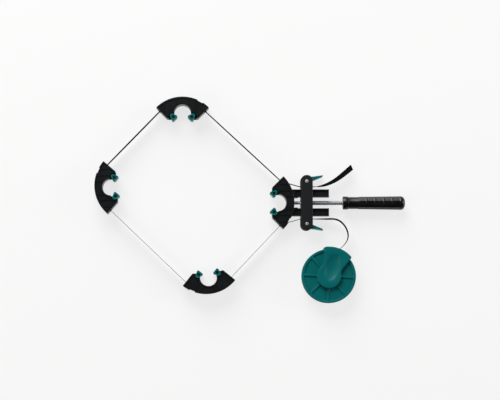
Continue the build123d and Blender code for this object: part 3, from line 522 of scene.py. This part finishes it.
@dataclass(frozen=True)
class StrapSection:
    """The woven strap's cross-section, standing on edge."""

    width: float = 16.0
    thickness: float = 0.8
    selvedge: float = 1.2
    thin_middle: float = 0.84
    thin_edge: float = 0.45
    columns: int = 9

    def outline(self) -> list[tuple[float, float]]:
        """Work out the section's points, from edge to edge and back.

        Returns:
            Pairs of a place across the strap and a place through it.
        """
        face = []
        for n in range(self.columns):
            across = self.width * (n / (self.columns - 1) - 0.5)
            to_edge = self.width / 2 - abs(across)
            half = self.thickness / 2
            if to_edge < 1e-6:
                half *= self.thin_edge
            elif to_edge > self.selvedge:
                half *= self.thin_middle
            face.append((across, half))
        return face + [(across, -half) for across, half in reversed(face)]

    def mesh(
        self,
        name: str,
        path: list[Vector],
        leans: list[float] | None = None,
        slant: float = 0.0,
    ) -> bpy.types.Object:
        """Model a length of strap along a path in its own UV space.

        Args:
            name: The piece's name.
            path: Points of the strap's middle line, in metres.
            leans: How far the strap leans over from upright at each point, in radians.
            slant: How far the lower edge runs past the upper one at the far end, in millimetres.

        Returns:
            The strap as a mesh object, dressed.
        """
        outline = self.outline()
        count = len(outline)
        tilts = leans or [0.0] * len(path)
        vertices: list[Vector] = []
        reach = [0.0]
        for before, after in zip(path, path[1:]):
            reach.append(reach[-1] + (after - before).length)
        for index, point in enumerate(path):
            ahead = path[min(index + 1, len(path) - 1)] - path[max(index - 1, 0)]
            ahead.normalize()
            upright = Vector((0, 0, 1))
            side = upright.cross(ahead).normalized()
            turn = Matrix.Rotation(tilts[index], 3, ahead)
            across, through = turn @ upright, turn @ side
            pull = slant * max(0.0, 1 - (reach[-1] - reach[index]) / (self.width * MM))
            for a, t in outline:
                past = ahead * (-pull * a / self.width * MM)
                vertices.append(point + across * (a * MM) + through * (t * MM) + past)
        faces = []
        for ring in range(len(path) - 1):
            for n in range(count):
                step = (n + 1) % count
                low, high = ring * count, (ring + 1) * count
                faces.append((low + n, high + n, high + step, low + step))
        last = (len(path) - 1) * count
        faces.append(tuple(range(count)))
        faces.append(tuple(reversed(range(last, last + count))))
        data = bpy.data.meshes.new(name)
        data.from_pydata(vertices, [], faces)
        layer = data.uv_layers.new(name="Strap")
        for polygon in data.polygons:
            for corner, vertex in zip(polygon.loop_indices, polygon.vertices):
                ring, n = divmod(vertex, count)
                layer.data[corner].uv = (reach[ring], outline[n][0] * MM)
        piece = bpy.data.objects.new(name, data)
        bpy.context.collection.objects.link(piece)
        face_outwards(piece)
        settle(piece, name, Finish.STRAP, 50.0)
        return piece


def smooth_route(points: list[tuple[float, float]], height: float, steps: int = 12) -> list[Vector]:
    """Read points along the smooth line that a route's points steer.

    Args:
        points: The route's points in the plane of the loop, in millimetres.
        height: The height of the line, in millimetres.
        steps: How finely each span is read.

    Returns:
        Points of the smooth line, in metres.
    """
    data = bpy.data.curves.new("route", "CURVE")
    data.dimensions = "3D"
    line = data.splines.new("NURBS")
    line.points.add(len(points) - 1)
    for control, (x, y) in zip(line.points, points):
        control.co = (x * MM, y * MM, height * MM, 1.0)
    line.order_u = 3
    line.use_endpoint_u = True
    line.resolution_u = steps
    holder = bpy.data.objects.new("route", data)
    bpy.context.collection.objects.link(holder)
    read = bpy.data.meshes.new_from_object(holder)
    found = [v.co.copy() for v in read.vertices]
    bpy.data.objects.remove(holder)
    bpy.data.curves.remove(data)
    bpy.data.meshes.remove(read)
    return found


def straight(start: Vector, end: Vector, steps: int) -> list[Vector]:
    """Divide a straight line evenly.

    Args:
        start: Its first point.
        end: Its last point.
        steps: How many parts it has.

    Returns:
        The points, both ends among them.
    """
    return [start.lerp(end, n / steps) for n in range(steps + 1)]


# The scene round the clamp


@dataclass(frozen=True)
class Lamp:
    """One square soft light: its place and width in metres, and its power in watts."""

    name: str
    place: tuple[float, float, float]
    size: float
    power: float


@dataclass(frozen=True)
class Studio:
    """A camera high above the clamp, a pale table and soft light from the top of the picture."""

    camera_m: tuple[float, float, float] = (-0.1518, -0.2002, 3.315)
    camera_turn_deg: tuple[float, float, float] = (3.562, -1.406, -0.04)
    lens_mm: float = 135.4
    table_m: float = 12.0
    table_colour: str = "7c7c7b"
    table_glow: float = 0.75
    table_roughness: float = 0.9
    table_place: tuple[float, float, float] = (-0.1, 0, -0.0003)
    surround: float = 0.06
    aim_m: tuple[float, float, float] = (-0.08, 0.0, 0.0)
    lamps: tuple[Lamp, ...] = (
        Lamp("key", (-1.0, 2.9, 1.9), 2.8, 165.0),
        Lamp("fill", (-2.6, -1.2, 2.0), 2.4, 30.0),
        Lamp("rim", (3.0, 0.5, 1.1), 1.6, 40.0),
    )

    def build(self) -> None:
        """Place the camera, the table and the lights."""
        camera = bpy.data.cameras.new("camera")
        camera.lens = self.lens_mm
        camera.sensor_width = 36.0
        camera.clip_end = 60.0
        eye = bpy.data.objects.new("camera", camera)
        eye.location = self.camera_m
        eye.rotation_euler = [math.radians(a) for a in self.camera_turn_deg]
        bpy.context.collection.objects.link(eye)
        bpy.context.scene.camera = eye
        # plain sRGB, so that each finish shows as its hex colour does in the photograph
        bpy.context.scene.view_settings.view_transform = "Standard"
        self._table()
        self._lights()

    def _table(self) -> None:
        """Lay the pale table top under the clamp."""
        bpy.ops.object.select_all(action="DESELECT")
        bpy.ops.mesh.primitive_plane_add(size=self.table_m, location=self.table_place)
        table = bpy.context.object
        table.name = "table"
        material, tree, shader = new_material("pale matt laminate")
        shader.inputs["Base Color"].default_value = srgb(self.table_colour)
        shader.inputs["Roughness"].default_value = self.table_roughness
        # a little light of its own keeps the clamp's shadows pale
        shader.inputs["Emission Color"].default_value = (1.0, 1.0, 1.0, 1.0)
        shader.inputs["Emission Strength"].default_value = self.table_glow
        table.data.materials.append(material)

    def _lights(self) -> None:
        """Hang the soft lights, all aimed at the clamp, in a dim white surround."""
        for lamp in self.lamps:
            light = bpy.data.lights.new(lamp.name, "AREA")
            light.size = lamp.size
            light.energy = lamp.power
            hung = bpy.data.objects.new(lamp.name, light)
            hung.location = lamp.place
            aim = Vector(self.aim_m) - Vector(lamp.place)
            hung.rotation_euler = aim.to_track_quat("-Z", "Y").to_euler()
            bpy.context.collection.objects.link(hung)
        world = bpy.data.worlds.new("white surround")
        bpy.context.scene.world = world
        world.use_nodes = True
        background = world.node_tree.nodes["Background"]
        background.inputs["Color"].default_value = (1, 1, 1, 1)
        background.inputs["Strength"].default_value = self.surround


# The strap


@dataclass
class Jaw:
    """One corner jaw: where its arc's centre lies and which way it faces."""

    body: str
    x: float
    y: float
    heading: float

    def point(self, radius: float, angle: float) -> Vector:
        """Find a place in the jaw.

        Args:
            radius: Its distance from the arc's centre, in millimetres.
            angle: Its angle from the jaw's bisector, in degrees.

        Returns:
            The place in metres, at floor height.
        """
        turn = math.radians(self.heading + angle)
        return Vector(
            ((self.x + radius * math.cos(turn)) * MM, (self.y + radius * math.sin(turn)) * MM, 0)
        )


@dataclass
class StrapLoop:
    """The one woven strap, in the stretches that move apart from each other."""

    frame: dict
    section: StrapSection = field(default_factory=StrapSection)
    radius: float = 57.05
    half_angle: float = 45.0
    height: float = 15.0
    tuck: float = 5.0
    turn_angle: float = 41.4
    post_ease: float = 1.4
    exit_radius: float = 65.5
    crossbar_near: float = 18.2
    crossbar_far: float = 39.2
    cheek_y: float = 28.2
    crossbar_travel: float = 25.0
    tail_points: tuple = (
        (18.4, 28.2),
        (39.2, 28.2),
        (57.8, 29.8),
        (77.0, 37.9),
        (93.2, 49.6),
        (109.2, 63.4),
    )
    tail_lean_deg: float = 36.0
    tail_lean_start: float = 0.2
    tail_lean_power: float = 0.55
    tail_slant: float = 4.5
    feed_points: tuple = (
        (39.2, -28.2),
        (61.0, -28.3),
        (83.8, -27.8),
        (98.2, -41.3),
        (103.5, -59.2),
        (96.3, -73.6),
        (87.6, -80.8),
    )
    feed_lean_deg: float = 8.0
    feed_lean_rate: float = 6.0
    run_steps: int = 40
    run_lean_power: float = 0.4
    bend_steps: int = 28
    stretch_steps: int = 24
    grip_steps: int = 12

    def __post_init__(self) -> None:
        """Set out the four jaws that the strap runs through."""
        self.jaws = {
            "top": Jaw("top_jaw", -189.3, 120.8, 90.0),
            "left": Jaw("left_jaw", -277.8, 29.8, 184.4),
            "bottom": Jaw("bottom_jaw", -147.7, -94.6, -83.7),
            "fixed": Jaw("fixed_jaw", -58.6, 0.0, 0.0),
        }

    def build(self) -> None:
        """Model every stretch of the strap."""
        self._free_ends()
        self._runs()
        self._bends()
        self._fixed_side()

    def _lift(self, point: Vector) -> Vector:
        """Lift a point of the floor to the strap's middle height.

        Args:
            point: The point in metres.

        Returns:
            The lifted point.
        """
        return Vector((point.x, point.y, self.height * MM))

    def _runs(self) -> None:
        """Model the four straight runs, which shorten as the loop is drawn in."""
        for name, first, side, second, other, lean in (
            ("upper_left", "left", -1, "top", 1, 3.0),
            ("lower_left", "left", 1, "bottom", -1, 0.0),
            ("upper_right", "fixed", 1, "top", -1, -2.0),
            ("lower_right", "fixed", -1, "bottom", 1, 0.0),
        ):
            near_jaw, far_jaw = self.jaws[first], self.jaws[second]
            near = self._lift(near_jaw.point(self.radius, side * self.half_angle))
            far = self._lift(far_jaw.point(self.radius, other * self.half_angle))
            way = (far - near).normalized()
            tucked = (near - way * self.tuck * MM, far + way * self.tuck * MM)
            path = straight(*tucked, self.run_steps)
            # the strap leans over a little between two jaws, and stands upright in their channels
            leans = [
                -math.radians(lean) * math.sin(math.pi * n / self.run_steps) ** self.run_lean_power
                for n in range(self.run_steps + 1)
            ]
            piece = self.section.mesh(f"webbing_run_{name}", path, leans)
            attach(piece, f"{name}_run")
            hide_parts(f"strap_run_{name}")
            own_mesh(piece)

    def _bends(self) -> None:
        """Model the strap inside the three loose jaws."""
        for name in ("top", "left", "bottom"):
            jaw = self.jaws[name]
            steps = self.bend_steps
            angles = [self.half_angle * (2 * n / steps - 1) for n in range(steps + 1)]
            path = [self._lift(jaw.point(self.radius, a)) for a in angles]
            piece = self.section.mesh(f"webbing_bend_{name}", path)
            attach(piece, jaw.body)
            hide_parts(f"strap_bend_{name}")

    def _fixed_side(self) -> None:
        """Model the strap round the fixed jaw's posts and on to the crossbar."""
        jaw = self.jaws["fixed"]
        for name, side in (("upper", 1), ("lower", -1)):
            enter = jaw.point(self.radius, side * self.half_angle)
            corner = jaw.point(self.radius, side * self.turn_angle)
            gripped = Vector((self.crossbar_near * MM, side * self.cheek_y * MM, 0))
            way = (gripped - corner).normalized()
            back = (enter - corner).normalized()
            leave = corner + way * self._leaving(corner, way)
            ease = self.post_ease * MM
            route = [enter, corner + back * ease, corner, corner + way * ease, leave]
            line = smooth_route([(p.x / MM, p.y / MM) for p in route], self.height)
            turn = self.section.mesh(f"webbing_turn_{name}", line)
            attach(turn, "fixed_jaw")
            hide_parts(f"strap_turn_{name}")
            start, end = self._lift(leave), self._lift(gripped)
            line = straight(start, end, self.stretch_steps)
            stretch = self.section.mesh(f"webbing_stretch_{name}", line)
            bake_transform(stretch)
            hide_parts(f"strap_stretch_{name}")

    def _leaving(self, corner: Vector, way: Vector) -> float:
        """Work out how far from its corner the strap crosses the fixed jaw's rim.

        Args:
            corner: Where the strap turns, in metres.
            way: The direction in which it leaves.

        Returns:
            The distance in metres.
        """
        centre = Vector((self.jaws["fixed"].x * MM, self.jaws["fixed"].y * MM, 0))
        out = corner - centre
        along = out.dot(way)
        square = out.length_squared - (self.exit_radius * MM) ** 2
        return -along + math.sqrt(along**2 - square)

    def _free_ends(self) -> None:
        """Model the free tail and the length that feeds from the reel."""
        line = smooth_route(list(self.tail_points), self.height)
        lean = math.radians(self.tail_lean_deg)
        shares = [n / (len(line) - 1) for n in range(len(line))]
        begin, power = self.tail_lean_start, self.tail_lean_power
        leans = [lean * max(0.0, (s - begin) / (1 - begin)) ** power for s in shares]
        tail = self.section.mesh("webbing_tail", line, leans, self.tail_slant)
        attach(tail, "crossbar")
        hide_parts("strap_tail", "strap_grip_upper")

        line = smooth_route(list(self.feed_points), self.height)
        lean = math.radians(self.feed_lean_deg)
        shares = [n / (len(line) - 1) for n in range(len(line))]
        leans = [-lean * min(1.0, self.feed_lean_rate * s) * (1 - s) for s in shares]
        feed = self.section.mesh("webbing_feed", line, leans)
        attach(feed, "crossbar")
        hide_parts("strap_feed")

        start = Vector((self.crossbar_near * MM, -self.cheek_y * MM, self.height * MM))
        end = Vector((self.crossbar_far * MM, -self.cheek_y * MM, self.height * MM))
        grip = self.section.mesh("webbing_grip_lower", straight(start, end, self.grip_steps))
        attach(grip, "crossbar")
        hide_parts("strap_grip_lower")


# Jaws and pads


@dataclass
class CornerJaws:
    """The four moulded jaws, their swivelling pads and the pads' pins."""

    frame: dict
    names: tuple[str, ...] = ("fixed", "top", "left", "bottom")

    def build(self) -> None:
        """Finish each jaw, its two pads and their pins."""
        nodes = self.frame["nodes"]
        for name in self.names:
            polish(nodes[f"jaw_{name}"])
            dress(nodes[f"jaw_{name}"], Finish.BLACK_NYLON)
            polish(nodes[f"pad_pins_{name}"])
            dress(nodes[f"pad_pins_{name}"], Finish.BLACK_NYLON)
            for side in "ab":
                polish(nodes[f"pad_{name}_{side}"])
                dress(nodes[f"pad_{name}_{side}"], Finish.TEAL_ABS)
            log.info("%s jaw finished", name)


# Screw tensioner


@dataclass
class Tensioner:
    """The crossbar with its cam levers and their springs, and the threaded spindle.

    The thread's shape is one pitch of its profile: shares of the pitch and of the depth.
    The core stands proud of the thread's root by a hair, so that no gap shows.
    """

    frame: dict
    axis_height: float = 15.0
    pitch: float = 1.25
    crest_radius: float = 4.0
    root_radius: float = 3.27
    thread_start: float = 19.4
    thread_end: float = 100.0
    pilot_radius: float = 2.75
    pilot_tip: float = -0.6
    groove_radius: float = 1.95
    groove: tuple[float, float] = (0.9, 4.3)
    shoulder: float = 18.2
    spindle_end: float = 137.5
    spring_wire: float = 0.9
    spring_radius: float = 4.0
    spring_turns: float = 2.6
    pin_x: float = 28.7
    pin_y: float = 37.35
    spring_steps: int = 28
    wire_sides: int = 10
    thread_shape: tuple[tuple[float, float], ...] = (
        (0.0, 0.0),
        (0.12, 0.0),
        (0.44, 1.0),
        (0.56, 1.0),
        (0.88, 0.0),
        (1.0, 0.0),
    )
    thread_steps: int = 28
    core_steps: int = 40
    chamfer: float = 0.4
    flare: tuple[float, float] = (1.2, 0.3)
    proud: float = 0.02
    join_mm: float = 0.0005

    def build(self) -> None:
        """Finish the crossbar's pieces, then model the thread and the springs."""
        nodes = self.frame["nodes"]
        plain = {
            Finish.CROSSBAR_COAT: ("crossbar_top_plate", "crossbar_bottom_plate"),
            Finish.BLACK_NYLON: ("slider_block",),
            Finish.TEAL_ABS: ("cam_lever_upper", "cam_lever_lower"),
            Finish.ZINC_STEEL: (
                "lever_pin_upper",
                "lever_pin_lower",
                "spindle_nut",
                "crossbar_screws",
            ),
            Finish.DRAWN_STEEL: ("thrust_disc", "keeper_pin"),
        }
        for finish, names in plain.items():
            for name in names:
                polish(nodes[name])
                dress(nodes[name], finish)
        self._spindle()
        for name, side in (("upper", 1), ("lower", -1)):
            self._spring(name, side)
        log.info("tensioner finished")

    def _spindle(self) -> None:
        """Model the spindle with its rolled thread, its pilot and the keeper's groove."""
        rolled = self._thread()
        core = self._turned_core()
        only(core)
        rolled.select_set(True)
        bpy.ops.object.join()
        settle(core, "threaded_spindle", Finish.ZINC_STEEL, 40.0)
        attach(core, "spindle")
        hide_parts("spindle")

    def _thread(self) -> bpy.types.Object:
        """Wind one pitch of the thread's profile along the spindle.

        Returns:
            The thread as a mesh object.
        """
        turns = round((self.thread_end - self.thread_start) / self.pitch)
        depth = self.crest_radius - self.root_radius
        points = [
            ((self.thread_start + self.pitch * a) * MM, 0.0, (self.root_radius + depth * h) * MM)
            for a, h in self.thread_shape
        ]
        data = bpy.data.meshes.new("thread")
        data.from_pydata(points, [(n, n + 1) for n in range(len(points) - 1)], [])
        thread = bpy.data.objects.new("thread", data)
        bpy.context.collection.objects.link(thread)
        only(thread)
        wind = thread.modifiers.new("Wind", "SCREW")
        wind.axis = "X"
        wind.screw_offset = self.pitch * MM
        wind.iterations = turns
        wind.steps = self.thread_steps
        wind.render_steps = self.thread_steps
        wind.use_merge_vertices = True
        wind.merge_threshold = 0.001 * MM
        bpy.ops.object.modifier_apply(modifier=wind.name)
        thread.location.z = self.axis_height * MM
        bpy.ops.object.transform_apply(location=True)
        face_outwards(thread, self.join_mm)
        return thread

    def _turned_core(self) -> bpy.types.Object:
        """Turn the plain lengths of the spindle: pilot, groove, shoulder and the end in the handle.

        Returns:
            The core as a mesh object.
        """
        profile = (
            (self.pilot_tip, 0.0),
            (self.pilot_tip, self.pilot_radius - self.chamfer),
            (self.pilot_tip + self.chamfer, self.pilot_radius),
            (self.groove[0], self.pilot_radius),
            (self.groove[0], self.groove_radius),
            (self.groove[1], self.groove_radius),
            (self.groove[1], self.pilot_radius),
            (self.shoulder, self.pilot_radius),
            (self.shoulder + self.flare[0], self.root_radius + self.flare[1]),
            (self.thread_start + self.chamfer, self.root_radius + self.proud),
            (self.thread_end - self.chamfer, self.root_radius + self.proud),
            (self.thread_end + self.chamfer / 2, self.crest_radius),
            (self.spindle_end, self.crest_radius),
            (self.spindle_end, 0.0),
        )
        data = bpy.data.meshes.new("core")
        data.from_pydata(
            [(x * MM, 0.0, r * MM) for x, r in profile],
            [(n, n + 1) for n in range(len(profile) - 1)],
            [],
        )
        core = bpy.data.objects.new("core", data)
        bpy.context.collection.objects.link(core)
        only(core)
        spin = core.modifiers.new("Turn", "SCREW")
        spin.axis = "X"
        spin.steps = self.core_steps
        spin.render_steps = self.core_steps
        spin.use_merge_vertices = True
        spin.merge_threshold = 0.001 * MM
        bpy.ops.object.modifier_apply(modifier=spin.name)
        core.location.z = self.axis_height * MM
        bpy.ops.object.transform_apply(location=True)
        face_outwards(core, self.join_mm)
        return core

    def _spring(self, name: str, side: int) -> None:
        """Wind a lever's torsion spring round its pin.

        Args:
            name: Which lever the spring serves.
            side: 1 for the upper lever, -1 for the lower one.
        """
        low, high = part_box(f"lever_spring_{name}")
        bpy.ops.object.select_all(action="DESELECT")
        bpy.ops.mesh.primitive_circle_add(
            vertices=self.wire_sides,
            radius=self.spring_wire / 2 * MM,
            location=(self.spring_radius * MM, 0, low.z + self.spring_wire / 2 * MM),
            rotation=(math.pi / 2, 0, 0),
        )
        spring = bpy.context.object
        bpy.ops.object.transform_apply(location=True, rotation=True)
        wind = spring.modifiers.new("Wind", "SCREW")
        wind.axis = "Z"
        wind.angle = 2 * math.pi * self.spring_turns
        wind.screw_offset = high.z - low.z - self.spring_wire * MM
        wind.steps = round(self.spring_steps * self.spring_turns)
        wind.render_steps = wind.steps
        bpy.ops.object.modifier_apply(modifier=wind.name)
        bpy.ops.object.mode_set(mode="EDIT")
        bpy.ops.mesh.select_all(action="DESELECT")
        bpy.ops.mesh.select_non_manifold()
        bpy.ops.mesh.fill()
        bpy.ops.mesh.select_all(action="SELECT")
        bpy.ops.mesh.normals_make_consistent(inside=False)
        bpy.ops.object.mode_set(mode="OBJECT")
        spring.location = (self.pin_x * MM, side * self.pin_y * MM, 0)
        settle(spring, f"torsion_spring_{name}", Finish.DRAWN_STEEL, 60.0)
        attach(spring, "crossbar")
        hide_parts(f"lever_spring_{name}")


@dataclass
class GripHandle:
    """The moulded handle: a collar, a neck and a body with bands of shallow pressed flats.

    The collar is given as points of its outline, each a place along the handle and a
    radius. The body widens to the end and closes in a blunt dome.
    """

    start: float = 92.5
    length: float = 110.0
    axis_height: float = 15.0
    bore_radius: float = 4.02
    bore_depth: float = 45.1
    bore_chamfer: float = 0.4
    collar: tuple[tuple[float, float], ...] = (
        (0.0, 10.5),
        (0.12, 10.88),
        (0.4, 11.26),
        (1.0, 11.5),
        (8.5, 11.5),
        (9.0, 11.34),
        (9.2, 11.1),
        (9.3, 10.75),
        (9.6, 10.56),
        (10.2, 10.5),
    )
    neck_end: float = 26.2
    neck_radius: float = 10.5
    body_radius: float = 12.1
    shoulder_share: float = 0.35
    shoulder_rate: float = 30.0
    dome: float = 9.0
    dome_power: float = 2.5
    dome_steps: int = 18
    flats: int = 12
    flat_depth: float = 0.3
    flat_share: float = 0.375
    rows: int = 5
    row_start: float = 26.5
    row_pitch: float = 15.0
    row_length: float = 14.6
    row_edge: float = 1.2
    step: float = 0.5
    columns: int = 96
    crease_deg: float = 28.0
    join_mm: float = 0.002

    def build(self) -> None:
        """Shape the handle from a grid rolled round the spindle, and put it on the spindle."""
        rings = self._rings()
        bpy.ops.object.select_all(action="DESELECT")
        bpy.ops.mesh.primitive_grid_add(
            x_subdivisions=self.columns, y_subdivisions=len(rings) - 1, size=2.0
        )
        handle = bpy.context.object
        for vertex in handle.data.vertices:
            angle = (vertex.co.x + 1) * math.pi
            along, radius = rings[round((vertex.co.y + 1) / 2 * (len(rings) - 1))]
            radius -= self._flat(along, angle)
            vertex.co = (
                (self.start + along) * MM,
                radius * math.cos(angle) * MM,
                (self.axis_height + radius * math.sin(angle)) * MM,
            )
        face_outwards(handle, self.join_mm)
        settle(handle, "moulded_handle", Finish.GLOSS_GRIP, self.crease_deg)
        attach(handle, "spindle")
        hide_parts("handle")
        log.info("handle finished")

    def _rings(self) -> list[tuple[float, float]]:
        """Set out the handle's outline, from the bottom of its bore out and round to its dome.

        Returns:
            Pairs of a place along the handle and a radius there.
        """
        rings = [
            (self.bore_depth, 0.0),
            (self.bore_depth, self.bore_radius),
            (self.bore_chamfer, self.bore_radius),
            (0.0, self.bore_radius + self.bore_chamfer),
            *self.collar,
            (self.neck_end, self.neck_radius),
        ]
        dome_start = self.length - self.dome
        count = round((dome_start - self.neck_end) / self.step)
        for n in range(1, count + 1):
            share = n / count
            shoulder = min(1.0, share * self.shoulder_rate)
            rise = self.shoulder_share * shoulder + (1 - self.shoulder_share) * share
            radius = self.neck_radius + (self.body_radius - self.neck_radius) * rise
            rings.append((self.neck_end + (dome_start - self.neck_end) * share, radius))
        blunt = 2 / self.dome_power
        for n in range(1, self.dome_steps + 1):
            turn = math.pi / 2 * n / self.dome_steps
            along = dome_start + self.dome * math.sin(turn) ** blunt
            rings.append((along, self.body_radius * max(0.0, math.cos(turn)) ** blunt))
        rings[-1] = (self.length, 0.0)
        return rings

    def _flat(self, along: float, angle: float) -> float:
        """Work out how deep the flats are cut at one place.

        Args:
            along: The place along the handle.
            angle: The place round it, in radians.

        Returns:
            The depth below the handle's round outline.
        """
        row = min(self.rows - 1, max(0, int((along - self.row_start) / self.row_pitch)))
        middle = self.row_start + (row + 0.5) * self.row_pitch
        inside = (self.row_length / 2 - abs(along - middle)) / self.row_edge
        share = min(1.0, max(0.0, inside))
        edge = share * share * (3 - 2 * share)
        pitch = 2 * math.pi / self.flats
        swing = abs((angle + pitch / 2) % pitch - pitch / 2)
        wall = pitch * self.flat_share
        if swing <= wall + 1e-4:
            depth = self.flat_depth + self.body_radius * (1 - math.cos(wall) / math.cos(swing))
        else:
            depth = self.flat_depth * (pitch / 2 - swing) / (pitch / 2 - wall)
        return depth * edge


# Strap reel


@dataclass
class StrapReel:
    """The reel with its wound strap, in the guide that the strap leaves by."""

    frame: dict
    section: StrapSection = field(default_factory=StrapSection)
    centre: tuple[float, float] = (67.2, -128.7)
    hub_radius: float = 18.5
    coil_radius: float = 37.5
    turns: float = 22.0
    height: float = 15.0
    steps_per_turn: int = 44
    wobble: float = 0.12
    wobble_rate: float = 1.37
    slot_point: tuple[float, float] = (87.6, -80.8)
    feed_back: tuple[float, float] = (96.3, -73.6)
    lead_gap: float = 0.8
    lead_steps: int = 16

    def build(self) -> None:
        """Finish the reel's solids, then model its wound strap and its lead-in."""
        nodes = self.frame["nodes"]
        for name in ("reel_drum", "reel_front_flange", "reel_guide_front", "reel_guide_rear"):
            polish(nodes[name])
            dress(nodes[name], Finish.TEAL_ABS)
        polish(nodes["reel_screw"])
        dress(nodes["reel_screw"], Finish.ZINC_STEEL)
        self._coil()
        self._lead()
        log.info("reel finished")

    def _coil(self) -> None:
        """Wind the spare strap on the hub, a turn at a time."""
        count = round(self.turns * self.steps_per_turn)
        path = []
        for n in range(count + 1):
            share = n / count
            angle = 2 * math.pi * self.turns * share
            radius = self.hub_radius + (self.coil_radius - self.hub_radius) * share
            radius += self.wobble * math.sin(angle * self.wobble_rate)
            x = self.centre[0] + radius * math.cos(angle)
            y = self.centre[1] + radius * math.sin(angle)
            path.append(Vector((x * MM, y * MM, self.height * MM)))
        coil = self.section.mesh("wound_webbing", path)
        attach(coil, "reel")
        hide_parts("strap_coil")

    def _lead(self) -> None:
        """Lead the strap from the guide's slot on to the coil, in one arc."""
        start = Vector(self.slot_point) - Vector(self.centre)
        way = (Vector(self.slot_point) - Vector(self.feed_back)).normalized()
        side = Vector((way.y, -way.x))
        touch = self.coil_radius + self.section.thickness / 2 + self.lead_gap
        reach = (start.length_squared - touch**2) / (2 * (touch - start.dot(side)))
        middle = start + side * reach
        first = math.atan2(start.y - middle.y, start.x - middle.x)
        last = math.atan2(-middle.y, -middle.x)
        path = []
        for n in range(self.lead_steps + 1):
            angle = first + (last - first) * n / self.lead_steps
            spoke = Vector((math.cos(angle), math.sin(angle))) * reach
            place = Vector(self.centre) + middle + spoke
            path.append(Vector((place.x * MM, place.y * MM, self.height * MM)))
        lead = self.section.mesh("webbing_lead", path)
        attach(lead, "crossbar")
        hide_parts("strap_lead")


def main() -> None:
    """Build the clamp's looks, from the camera and the strap inwards."""
    logging.basicConfig(level=logging.INFO, format="%(name)s: %(message)s")
    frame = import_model()
    Studio().build()
    StrapLoop(frame).build()
    CornerJaws(frame).build()
    Tensioner(frame).build()
    GripHandle().build()
    StrapReel(frame).build()


if __name__ == "__main__":
    main()
